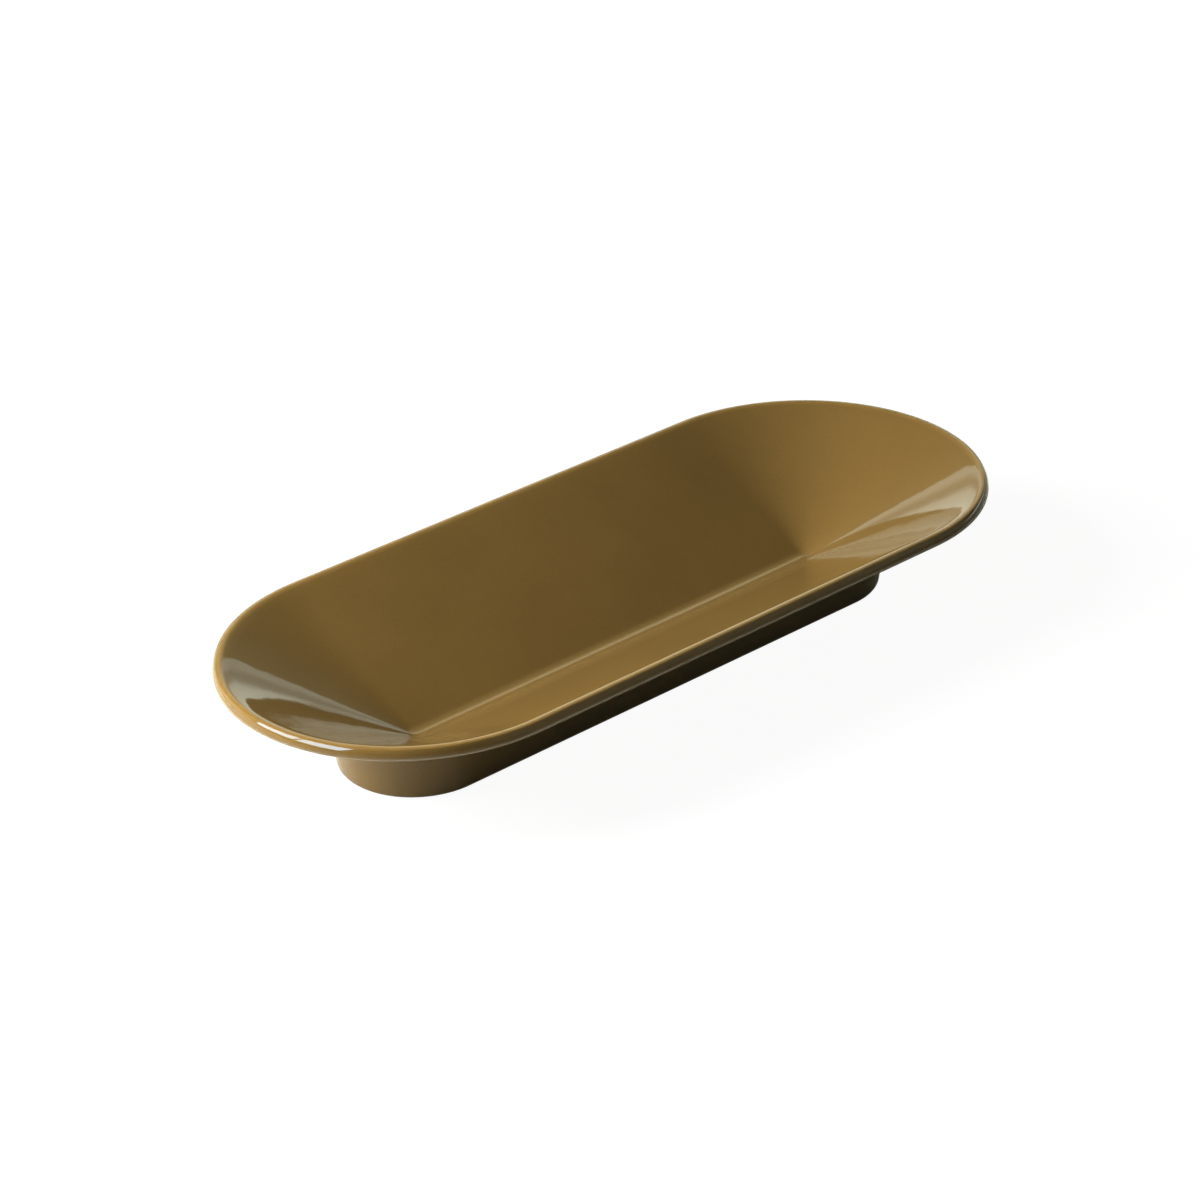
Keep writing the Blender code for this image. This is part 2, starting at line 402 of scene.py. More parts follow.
def obround_sweep_tree():
    """Carries an (r, z) profile round an obround: two straight runs and two half turns."""
    tree = new_tree(
        "Obround Sweep",
        {
            "Half Straight": "NodeSocketFloat",
            "End Steps": "NodeSocketInt",
            "Straight Steps": "NodeSocketInt",
            "Sharp Angle": "NodeSocketFloat",
            "Material": "NodeSocketMaterial",
        },
    )
    graph = NodeGraph(tree)
    given = graph.add("NodeGroupInput").outputs
    ends = given["End Steps"]
    runs = given["Straight Steps"]

    # Each column's turn and its shift along X, counted from the tip at +X
    index = graph.add("GeometryNodeInputIndex").outputs[0]
    half_end = graph.math("DIVIDE", ends, 2.0)
    spans = {
        "first_turn": half_end,
        "back_run": runs,
        "far_turn": ends,
        "front_run": runs,
        "last_turn": half_end,
    }
    passed = {}
    rest = index
    for name, span in spans.items():
        passed[name] = graph.clamp(rest, 0.0, span)
        rest = graph.math("SUBTRACT", rest, span)
    turns = graph.add_up(passed["first_turn"], passed["far_turn"], passed["last_turn"])
    turn = graph.math("DIVIDE", graph.math("MULTIPLY", turns, math.pi), ends)
    run = graph.math("SUBTRACT", passed["back_run"], passed["front_run"])
    passed_share = graph.math("DIVIDE", graph.math("MULTIPLY", run, 2.0), runs)
    share = graph.math("SUBTRACT", 1.0, passed_share)
    shift = graph.math("MULTIPLY", share, given["Half Straight"])

    columns = graph.math("MULTIPLY", graph.math("ADD", ends, runs), 2.0)
    circle = graph.add("GeometryNodeCurvePrimitiveCircle", {"Resolution": columns}).outputs["Curve"]
    path = capture(graph, circle, Turn=turn, Shift=shift)

    outline = graph.add("GeometryNodeMeshToCurve", {"Mesh": given["Geometry"]}).outputs[0]
    place = graph.add("GeometryNodeInputPosition").outputs[0]
    profile = capture(graph, outline, Place=place)
    swept = graph.add(
        "GeometryNodeCurveToMesh", {"Curve": path["Geometry"], "Profile Curve": profile["Geometry"]}
    ).outputs[0]

    reach, _, height = graph.split(profile["Place"])
    outwards = graph.math("MULTIPLY", reach, graph.math("COSINE", path["Turn"]))
    x = graph.math("ADD", path["Shift"], outwards)
    y = graph.math("MULTIPLY", reach, graph.math("SINE", path["Turn"]))
    placed = graph.add(
        "GeometryNodeSetPosition", {"Geometry": swept, "Position": graph.combine(x, y, height)}
    ).outputs[0]
    closed = graph.add(
        "GeometryNodeMergeByDistance", {"Geometry": placed, "Distance": MERGE_DISTANCE}
    ).outputs[0]

    angle = graph.add("GeometryNodeInputMeshEdgeAngle").outputs["Unsigned Angle"]
    smooth = graph.add("GeometryNodeSetShadeSmooth", {"Geometry": closed}).outputs[0]
    is_sharp = graph.add(
        "FunctionNodeCompare", {0: angle, 1: given["Sharp Angle"]}, operation="GREATER_THAN"
    ).outputs[0]
    creased = graph.add(
        "GeometryNodeSetShadeSmooth",
        {"Geometry": smooth, "Selection": is_sharp, "Shade Smooth": False},
        domain="EDGE",
    ).outputs[0]
    finish_tree(graph, creased, given["Material"])
    return tree


def finish_tree(graph, geometry, material):
    """The last nodes of every tree: plain geometry, dressed in the material."""
    realized = graph.add("GeometryNodeRealizeInstances", {"Geometry": geometry}).outputs[0]
    dressed = graph.add("GeometryNodeSetMaterial", {"Geometry": realized, "Material": material})
    graph.add("NodeGroupOutput", {"Geometry": dressed.outputs[0]})


def felt_pads_tree(sweep):
    """A felt disc with loose fibres, repeated at the four corners of a rectangle."""
    tree = new_tree(
        "Felt Pads",
        {
            "Along": "NodeSocketFloat",
            "Across": "NodeSocketFloat",
            "Sides": "NodeSocketInt",
            "Sharp Angle": "NodeSocketFloat",
            "Fibre Length": "NodeSocketFloat",
            "Fibre Radius": "NodeSocketFloat",
            "Fibre Density": "NodeSocketFloat",
            "Seed": "NodeSocketInt",
            "Material": "NodeSocketMaterial",
        },
    )
    graph = NodeGraph(tree)
    given = graph.add("NodeGroupInput").outputs
    disc_feeds = {
        "Geometry": given["Geometry"],
        "Half Straight": 0.0,
        "End Steps": graph.math("DIVIDE", given["Sides"], 2.0),
        "Straight Steps": 1,
        "Sharp Angle": given["Sharp Angle"],
        "Material": given["Material"],
    }
    disc = graph.group(sweep, disc_feeds)

    scatter = graph.add(
        "GeometryNodeDistributePointsOnFaces",
        {"Mesh": disc, "Density": given["Fibre Density"], "Seed": given["Seed"]},
    ).outputs
    fibre = graph.add(
        "GeometryNodeMeshCone",
        {
            "Vertices": 3,
            "Radius Top": 0.0,
            "Radius Bottom": given["Fibre Radius"],
            "Depth": given["Fibre Length"],
        },
        fill_type="NONE",
    ).outputs["Mesh"]
    tilt = graph.add(
        "FunctionNodeRandomValue",
        {
            "Min": (-FIBRE_TILT, -FIBRE_TILT, -math.pi),
            "Max": (FIBRE_TILT, FIBRE_TILT, math.pi),
            "Seed": given["Seed"],
        },
        data_type="FLOAT_VECTOR",
    ).outputs[0]
    stand = graph.add(
        "FunctionNodeRotateRotation",
        {"Rotation": scatter["Rotation"], "Rotate By": tilt},
        rotation_space="LOCAL",
    ).outputs[0]
    pick = graph.add("FunctionNodeRandomValue", {"Seed": given["Seed"]}, data_type="FLOAT")
    fuzz = graph.add(
        "GeometryNodeInstanceOnPoints",
        {
            "Points": scatter["Points"],
            "Instance": fibre,
            "Rotation": stand,
            "Scale": graph.ramp(pick.outputs[1], 0.0, 1.0, SHORTEST_FIBRE, 1.0),
        },
    ).outputs[0]

    corners = graph.add(
        "GeometryNodeMeshGrid",
        {
            "Size X": graph.math("MULTIPLY", given["Along"], 2.0),
            "Size Y": graph.math("MULTIPLY", given["Across"], 2.0),
            "Vertices X": 2,
            "Vertices Y": 2,
        },
    ).outputs["Mesh"]
    pad = graph.add("GeometryNodeJoinGeometry")
    graph.feed(pad.inputs[0], fuzz)
    graph.feed(pad.inputs[0], disc)
    pads = graph.add(
        "GeometryNodeInstanceOnPoints", {"Points": corners, "Instance": pad.outputs[0]}
    ).outputs[0]
    loose = graph.add("GeometryNodeRealizeInstances", {"Geometry": pads}).outputs[0]

    # A fibre lies flat where it would reach through the table
    x, y, z = graph.split(graph.add("GeometryNodeInputPosition").outputs[0])
    lain = graph.add(
        "GeometryNodeSetPosition",
        {"Geometry": loose, "Position": graph.combine(x, y, graph.math("MAXIMUM", z, 0.0))},
    ).outputs[0]
    finish_tree(graph, lain, given["Material"])
    return tree


def outline_object(name, profile, is_ring):
    """A loose outline of the profile, standing in the plane y = 0."""
    edges = [(point, point + 1) for point in range(len(profile) - 1)]
    if is_ring:
        edges.append((len(profile) - 1, 0))
    mesh = bpy.data.meshes.new(name)
    mesh.from_pydata([(reach, 0.0, height) for reach, height in profile], edges, [])
    piece = bpy.data.objects.new(name, mesh)
    bpy.context.scene.collection.objects.link(piece)
    return piece


def grow(piece, tree, values):
    """Runs the tree on the piece and keeps the result as its plain mesh."""
    modifier = piece.modifiers.new(tree.name, "NODES")
    modifier.node_group = tree
    for item in tree.interface.items_tree:
        if item.in_out == "INPUT" and item.name in values:
            modifier[item.identifier] = values[item.name]
    depsgraph = bpy.context.evaluated_depsgraph_get()
    outline = piece.data
    grown = piece.evaluated_get(depsgraph)
    piece.data = bpy.data.meshes.new_from_object(grown, depsgraph=depsgraph)
    piece.modifiers.remove(modifier)
    bpy.data.meshes.remove(outline)
    piece.data.name = piece.name
    piece.data.materials.clear()
    piece.data.materials.append(values["Material"])
    if not piece.data.polygons:
        raise RuntimeError(f"{piece.name} came out of its node tree with no faces")


def sweep_piece(name, profile, is_ring, material):
    """An obround piece made by carrying the profile round the bowl's centre line."""
    sizes = bpy.context.scene.bowl_sizes
    piece = outline_object(name, profile, is_ring)
    tree = bpy.data.node_groups.get("Obround Sweep") or obround_sweep_tree()
    values = {
        "Half Straight": sizes.half_straight,
        "End Steps": sizes.end_steps,
        "Straight Steps": sizes.straight_steps,
        "Sharp Angle": SHARP_ANGLE,
        "Material": material,
    }
    grow(piece, tree, values)
    return piece


def settle(piece, slot, *nodes):
    """The piece moves with the bowl and stands for its solids; the slot is not used."""
    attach(piece, BODY)
    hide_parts(*nodes)


# Profiles


def arc(centre, radius, start, end, steps):
    """Points of an arc in the (r, z) plane, with angles counted from +r towards +z."""
    angles = [start + (end - start) * step / steps for step in range(steps + 1)]
    return [
        (centre[0] + radius * math.cos(angle), centre[1] + radius * math.sin(angle))
        for angle in angles
    ]


def run(start, end, steps):
    """Points inside a straight line: one close to each end, to keep it flat, and some between."""
    line = Vector(end) - Vector(start)
    close = FLAT_MARGIN / line.length
    shares = [close + (1.0 - 2.0 * close) * step / steps for step in range(steps + 1)]
    return [tuple(Vector(start) + line * share) for share in shares]


def towards(angle):
    """The direction at an angle in the (r, z) plane."""
    return Vector((math.cos(angle), math.sin(angle)))


def valley_middle(sizes):
    """Centre of the fillet along the bottom of the inside."""
    return Vector((0.0, sizes.keel_height + sizes.wall + sizes.valley_radius))


def rim_arcs(sizes):
    """The wall's slope, and the rim's arcs in order: flare, roll, crown, lip, face and chin.

    The inside and the underside have the same slope, one wall apart, which gives the radius of the
    face. The slope and the places of the arcs depend on each other and settle in a few rounds.
    """
    valley = valley_middle(sizes)
    slope = 0.0
    for _ in range(SLOPE_ROUNDS):
        inside = slope + RIGHT_ANGLE
        turns = [
            inside,
            inside - sizes.flare_turn,
            inside - sizes.roll_turn,
            sizes.crown_turn,
            sizes.face_turn,
            0.0,
            slope - RIGHT_ANGLE,
        ]
        radii = [
            sizes.flare_radius,
            sizes.roll_radius,
            sizes.crown_radius,
            sizes.lip_radius,
            0.0,
            sizes.chin_radius,
        ]
        sines = [math.sin(turn - slope) for turn in turns]
        shares = [start - end for start, end in zip(sines, sines[1:])]
        others = sum(radius * share for radius, share in zip(radii, shares))
        radii[FACE] = (sizes.wall - others) / shares[FACE]

        # Each arc starts where the last one ends, and the crown and the face touch the rim's box
        centres = [Vector((0.0, 0.0))]
        for before, after, turn in zip(radii, radii[1:], turns[1:]):
            centres.append(centres[-1] + towards(turn) * (before - after))
        outwards = sizes.rim_reach - radii[FACE] - centres[FACE].x
        upwards = sizes.rim_height - radii[CROWN] - centres[CROWN].y
        centres = [centre + Vector((outwards, upwards)) for centre in centres]
        span = centres[0] - valley
        lift = math.asin((sizes.valley_radius + radii[0]) / span.length)
        slope = math.atan2(span.y, span.x) + lift
    return slope, list(zip(centres, radii, turns, turns[1:]))


def dish_profile(sizes):
    """Up the inside from the valley, over the rim and back down the underside to the keel."""
    slope, arcs = rim_arcs(sizes)
    centre = valley_middle(sizes)
    keel_radius = sizes.valley_radius + sizes.wall
    valley = arc(centre, sizes.valley_radius, -RIGHT_ANGLE, slope - RIGHT_ANGLE, VALLEY_STEPS)
    rim = []
    for (middle, radius, start, end), steps in zip(arcs, RIM_STEPS):
        rim += arc(middle, radius, start, end, steps)[1 if rim else 0 :]
    keel = arc(centre, keel_radius, slope - RIGHT_ANGLE, -RIGHT_ANGLE, KEEL_STEPS)
    inside = run(valley[-1], rim[0], INSIDE_STEPS)
    underside = run(rim[-1], keel[0], UNDERSIDE_STEPS)
    return valley + inside + rim + underside + keel


def foot_profile(sizes):
    """From the top of the leaning outer face down to the table side, the rebate and the inside."""
    slope, _ = rim_arcs(sizes)
    seat_radius = sizes.valley_radius + sizes.wall + sizes.glue_gap
    seat_low = valley_middle(sizes).y - seat_radius / math.cos(slope)
    top = seat_low + sizes.foot_reach * math.tan(slope)
    lean = math.tan(sizes.foot_lean)
    bottom_reach = sizes.foot_reach - (top - sizes.foot_bottom) * lean
    inner_reach = bottom_reach - sizes.foot_wall
    inner_top = seat_low + inner_reach * math.tan(slope)
    rebate_reach = sizes.board_reach + sizes.glue_gap
    ledge = sizes.board_top + sizes.glue_gap

    edge_radius = sizes.foot_edge_radius
    inset = edge_radius * (1.0 - math.sin(sizes.foot_lean)) / math.cos(sizes.foot_lean)
    edge_centre = (bottom_reach - inset, sizes.foot_bottom + edge_radius)
    edge = arc(edge_centre, edge_radius, -sizes.foot_lean, -RIGHT_ANGLE, FOOT_EDGE_STEPS)
    outer_top = (sizes.foot_reach, top)
    rebate = [
        (rebate_reach + sizes.rebate_easing, sizes.foot_bottom),
        (rebate_reach, sizes.foot_bottom + sizes.rebate_easing),
        (rebate_reach, ledge),
        (inner_reach, ledge),
        (inner_reach, inner_top),
    ]
    outer = run(outer_top, edge[0], FOOT_FACE_STEPS)
    return [outer_top] + outer + edge + rebate


def board_profile(sizes):
    """From the middle of the board's upper face round its eased edge to the middle below."""
    edge = sizes.board_reach
    easing = sizes.board_easing
    centre = (edge - easing, sizes.board_bottom + easing)
    return [
        (0.0, sizes.board_top),
        (edge, sizes.board_top),
        *arc(centre, easing, 0.0, -RIGHT_ANGLE, BOARD_EASING_STEPS),
        (0.0, sizes.board_bottom),
    ]


def pad_profile(sizes):
    """From the middle of the disc's upper face round both rounded edges to the middle below."""
    round_reach = sizes.pad_radius - sizes.pad_edge_radius
    upper = (round_reach, sizes.pad_height - sizes.pad_edge_radius)
    lower = (round_reach, sizes.pad_edge_radius)
    return [
        (0.0, sizes.pad_height),
        *arc(upper, sizes.pad_edge_radius, RIGHT_ANGLE, 0.0, PAD_EDGE_STEPS),
        *arc(lower, sizes.pad_edge_radius, 0.0, -RIGHT_ANGLE, PAD_EDGE_STEPS),
        (0.0, 0.0),
    ]


# Materials

# Bumps of the lacquer: the noise's scale, and how far they rise
WAVES = (28.0, 0.00014)
RIPPLE = (85.0, 0.00006)
SHIVER = (210.0, 0.000014)
PEEL = (480.0, 0.0000012)
NIB_RISE = 0.00005  # over a speck of dust
GLOSS_ROUGHNESS = (0.055, 0.10)  # clean, and in a smudge
LACQUER_IOR = 1.53

# The pale lip on top of the rim is partly thinner lacquer and partly a painted highlight
LIP_HIGHLIGHT_FADE = 0.0013  # the pale lip begins this far under the rim's top
LIP_HIGHLIGHT_TOP = 0.0001  # and has its full colour from here
NO_LIP_HIGHLIGHT = 1.0  # a height above every piece
NO_SCUFFS = -1.0  # a height below every piece
SCUFF_RISE = 0.0016  # how far the scuffs go up the foot
SCUFF_ROUGHNESS = 0.35
DUST_SPACING = 0.013
DUST_RADIUS = 0.00032
DUST_SHARE = 0.16  # of the cells that have a speck
DUST_COVER = 0.55

GRAIN_STRETCH = (0.06, 1.0, 1.0)  # along the board
SATIN_ROUGHNESS = (0.33, 0.46)
PORE_RISE = 0.00003
CLUMP_RISE = 0.0002
MATTED_RISE = 0.00015


def new_material(name):
    """A material with its graph, its Principled shader and the piece's own coordinates."""
    material = bpy.data.materials.new(name)
    material.use_nodes = True
    graph = NodeGraph(material.node_tree)
    shader = material.node_tree.nodes["Principled BSDF"]
    coords = graph.add("ShaderNodeTexCoord").outputs["Object"]
    return material, graph, shader, coords


def specks(graph, coords, spacing, radius, share):
    """Small round specks, one in some of the cells of a random grid."""
    scale = 1.0 / spacing
    cells = graph.add("ShaderNodeTexVoronoi", {"Vector": coords, "Scale": scale}).outputs
    near = graph.ramp(cells["Distance"], radius * scale * 0.5, radius * scale, 1.0, 0.0)
    pick = graph.math("LESS_THAN", graph.split(cells["Color"])[0], share)
    return graph.math("MULTIPLY", near, pick)


def lacquer_material(name, lip_highlight_height, scuff_height):
    """Gloss lacquer: uneven depth, a pale lip that is partly a painted highlight, dust in the coat,
    smudges and a slow waviness.

    It is paler just under the height of the lip, with a painted highlight there, and scuffed just
    over the height of the scuffs.
    """
    finish = bpy.context.scene.bowl_finish
    material, graph, shader, coords = new_material(name)
    _, across, height = graph.split(coords)

    depth = graph.ramp(graph.noise(coords, 11.0, 3.0), 0.3, 0.7, 0.95, 1.05)
    grain = graph.ramp(graph.noise(coords, 650.0), 0.3, 0.7, 0.975, 1.025)
    body = graph.tint(rgba(finish.lacquer), graph.math("MULTIPLY", depth, grain))

    # The pale lip on top of the rim: thinner lacquer, brightened further as a painted highlight
    # along the crown
    wander = graph.ramp(graph.noise(coords, 60.0, 3.0), 0.25, 0.75, 0.55, 1.0)
    lip = graph.ramp(height, lip_highlight_height - LIP_HIGHLIGHT_FADE, lip_highlight_height - LIP_HIGHLIGHT_TOP)
    colour = graph.mix(graph.math("MULTIPLY", lip, wander), body, rgba(finish.lip_lacquer_and_highlight))

    scratch = graph.ramp(graph.noise(coords, 900.0, 4.0), 0.56, 0.68)
    low = graph.ramp(height, scuff_height, scuff_height + SCUFF_RISE, 1.0, 0.0)
    scuff = graph.math("MULTIPLY", scratch, low)
    colour = graph.mix(scuff, colour, rgba(finish.lacquer_scuff))

    dust = specks(graph, coords, DUST_SPACING, DUST_RADIUS, DUST_SHARE)
    colour = graph.mix(graph.math("MULTIPLY", dust, DUST_COVER), colour, rgba(finish.dust))
    graph.feed(shader.inputs["Base Color"], colour)

    smudge = graph.ramp(graph.noise(coords, 26.0, 5.0), 0.45, 0.75, *GLOSS_ROUGHNESS)
    roughness = graph.math("ADD", smudge, graph.math("MULTIPLY", scuff, SCUFF_ROUGHNESS))
    graph.feed(shader.inputs["Roughness"], roughness)

    # The ripple is stronger on the side of the bowl at +Y
    uneven = graph.ramp(across, 0.0, 0.03, 1.0, 1.6)
    normal = None
    for (scale, rise), gain in ((WAVES, 1.0), (RIPPLE, uneven), (SHIVER, 1.0), (PEEL, 1.0)):
        bumps = graph.math("MULTIPLY", graph.noise(coords, scale, 1.0), gain)
        normal = graph.bump(bumps, rise, normal)
    graph.feed(shader.inputs["Normal"], graph.bump(dust, NIB_RISE, normal))
    shader.inputs["IOR"].default_value = LACQUER_IOR
    return material


def board_material(name):
    """Satin lacquer brushed along the board, with a little of the wood's grain showing."""
    finish = bpy.context.scene.bowl_finish
    material, graph, shader, coords = new_material(name)
    along = graph.add("ShaderNodeMapping", {"Vector": coords, "Scale": GRAIN_STRETCH}).outputs[0]
    pores = graph.noise(along, 700.0, 3.0)
    streaks = graph.noise(along, 130.0, 3.0)
    fine = graph.ramp(pores, 0.35, 0.65, 0.85, 1.15)
    broad = graph.ramp(streaks, 0.3, 0.7, 0.8, 1.2)
    colour = graph.tint(rgba(finish.board), graph.math("MULTIPLY", fine, broad))
    graph.feed(shader.inputs["Base Color"], colour)
    graph.feed(shader.inputs["Roughness"], graph.ramp(streaks, 0.3, 0.7, *SATIN_ROUGHNESS))
    graph.feed(shader.inputs["Normal"], graph.bump(pores, PORE_RISE))
    return material


def felt_material(name):
    """Pressed wool: matted fibres in two shades, soft and without gloss."""
    finish = bpy.context.scene.bowl_finish
    material, graph, shader, coords = new_material(name)
    matted = graph.noise(coords, 2600.0, 4.0)
    clumps = graph.noise(coords, 520.0, 3.0)
    patchy = graph.ramp(clumps, 0.3, 0.7, 0.5, 1.0)
    fleck = graph.math("MULTIPLY", graph.ramp(matted, 0.45, 0.7), patchy)
    colour = graph.mix(fleck, rgba(finish.felt), rgba(finish.felt_fleck))
    graph.feed(shader.inputs["Base Color"], colour)
    shader.inputs["Roughness"].default_value = 0.95
    shader.inputs["Sheen Weight"].default_value = 0.35
    shader.inputs["Specular IOR Level"].default_value = 0.1
    pile = graph.bump(clumps, CLUMP_RISE)
    graph.feed(shader.inputs["Normal"], graph.bump(matted, MATTED_RISE, pile))
    return material


# Stage

# Ramps are written as two values and the levels at them

# The floor for the camera: a white of its own, by the distance from the bowl's centre line, and
# a part that the lamps light, which keeps the shadow
OWN_WHITE = (0.3, 0.8, 0.945, 1.0)
SHADED_WHITE = (0.125, 0.125, 0.125, 1.0)

# The floor in gloss, by the same distance in reaches of the rim: painted shade under the bowl,
# painted light close by and towards the backdrop
PAINTED_SHADE_UNDER_BOWL = (0.7, 1.1, 0.50, 1.0)
PAINTED_LIGHT_CLOSE_BY = (1.8, 2.8, 1.5, 0.4)
PAINTED_LIGHT_TO_BACKDROP = (0.0, 2.0, 0.0, 0.85)
FLOOR_LEVEL = 0.57

# The room in gloss, by heights and distances on a sphere of radius 1
EDGE_BLUR = 0.006
BACKDROP_SLANT = 0.09  # of its bands, which rise to the left
BACKDROP_LOWER = (0.16, 0.235, 1.0, 0.45)
BACKDROP_UPPER = (0.265, 0.35)
UPPER_GAIN = 0.28  # to the left
UPPER_LEVEL = 0.5  # in the middle
BACKDROP_ENDS = (0.12, 0.2)
RIGHT_END = ((34.0, 14.0), (28.0, 26.0))  # its edge: turn and rise of two points, in degrees
DEEP_LEVEL = 0.06  # of the room between the ends
SPOT_CORE = 0.10
SPOT_LEVEL = 0.86
SPOT_HALO = (0.20, 0.75, 0.25, 0.0)
FRONT_WALL = (0.3, 0.9, 0.40, 0.0)


def floor_material():
    """Pale floor: near white with its shadow for the camera, painted light and shade in gloss, pale
    for the rest.
    """
    stage = bpy.context.scene.bowl_stage
    sizes = bpy.context.scene.bowl_sizes
    material = bpy.data.materials.new("studio_floor")
    material.use_nodes = True
    tree = material.node_tree
    tree.nodes.clear()
    graph = NodeGraph(tree)
    rays = graph.add("ShaderNodeLightPath").outputs
    coords = graph.add("ShaderNodeTexCoord").outputs["Object"]
    x, y, _ = graph.split(coords)
    along = graph.math("SUBTRACT", x, graph.clamp(x, -sizes.half_straight, sizes.half_straight))
    reach = graph.distance(graph.combine(along, y, 0.0), (0.0, 0.0, 0.0))

    shaded = graph.diffuse(SHADED_WHITE)
    white = graph.add("ShaderNodeEmission", {"Strength": graph.ramp(reach, *OWN_WHITE)}).outputs[0]
    for_camera = graph.overlay(shaded, white)

    # In gloss the floor is painted: a painted shadow right under the bowl, painted light close to it
    # and towards the backdrop, dim beyond, and a faint glow of its own
    rims = graph.math("DIVIDE", reach, sizes.rim_reach)
    close = graph.math("MULTIPLY", graph.ramp(rims, *PAINTED_SHADE_UNDER_BOWL), graph.ramp(rims, *PAINTED_LIGHT_CLOSE_BY))
    ahead = graph.dot(coords, facing(stage.backdrop_turn, 0.0) / sizes.rim_reach)
    brightest = graph.math("MAXIMUM", close, graph.ramp(ahead, *PAINTED_LIGHT_TO_BACKDROP))
    level = graph.math("MULTIPLY", brightest, FLOOR_LEVEL)
    half_lit = graph.diffuse(graph.mix(level, BLACK, rgba(stage.floor_tint)))
    glow = graph.add("ShaderNodeEmission", {"Color": rgba(stage.floor_glow)}).outputs[0]
    in_gloss = graph.overlay(graph.overlay(half_lit, half_lit), glow)

    pale = graph.diffuse(rgba(stage.floor_colour))
    lit = graph.switch(rays["Is Glossy Ray"], pale, in_gloss)
    surface = graph.switch(seen_directly(graph, rays), lit, for_camera)
    graph.add("ShaderNodeOutputMaterial", {"Surface": surface})
    return material


def seen_directly(graph, rays):
    """1 for the camera, also through glass, and 0 for the other rays."""
    return graph.math("MAXIMUM", rays["Is Camera Ray"], rays["Is Transmission Ray"])


def facing(turn, rise):
    """The direction that is turned from +X towards +Y and raised from the table."""
    level = math.cos(rise)
    return Vector((level * math.cos(turn), level * math.sin(turn), math.sin(rise)))


def add_floor():
    """One large square on the plane that the bowl stands on."""
    half = bpy.context.scene.bowl_stage.floor_size / 2
    mesh = bpy.data.meshes.new("studio_floor")
    corners = [(-half, -half, 0.0), (half, -half, 0.0), (half, half, 0.0), (-half, half, 0.0)]
    mesh.from_pydata(corners, [], [(0, 1, 2, 3)])
    mesh.materials.append(floor_material())
    floor = bpy.data.objects.new("studio_floor", mesh)
    bpy.context.scene.collection.objects.link(floor)


def inside_plane(graph, direction, normal):
    """The half of the room on the side that the normal points to, with a soft edge."""
    return graph.ramp(graph.dot(direction, normal), -EDGE_BLUR, EDGE_BLUR)


def under_edge(graph, direction, turn, top):
    """The part of the room under a straight edge, which is highest at the turn."""
    normal = facing(turn, 0.0) * math.tan(top) - Vector((0.0, 0.0, 1.0))
    return inside_plane(graph, direction, normal)


def beside_edge(graph, direction, low, high):
    """The part of the room on the +X side of a slanted edge through two directions."""
    first, second = (facing(*map(math.radians, point)) for point in (low, high))
    normal = first.cross(second).normalized()
    return inside_plane(graph, direction, normal if normal.x > 0.0 else -normal)


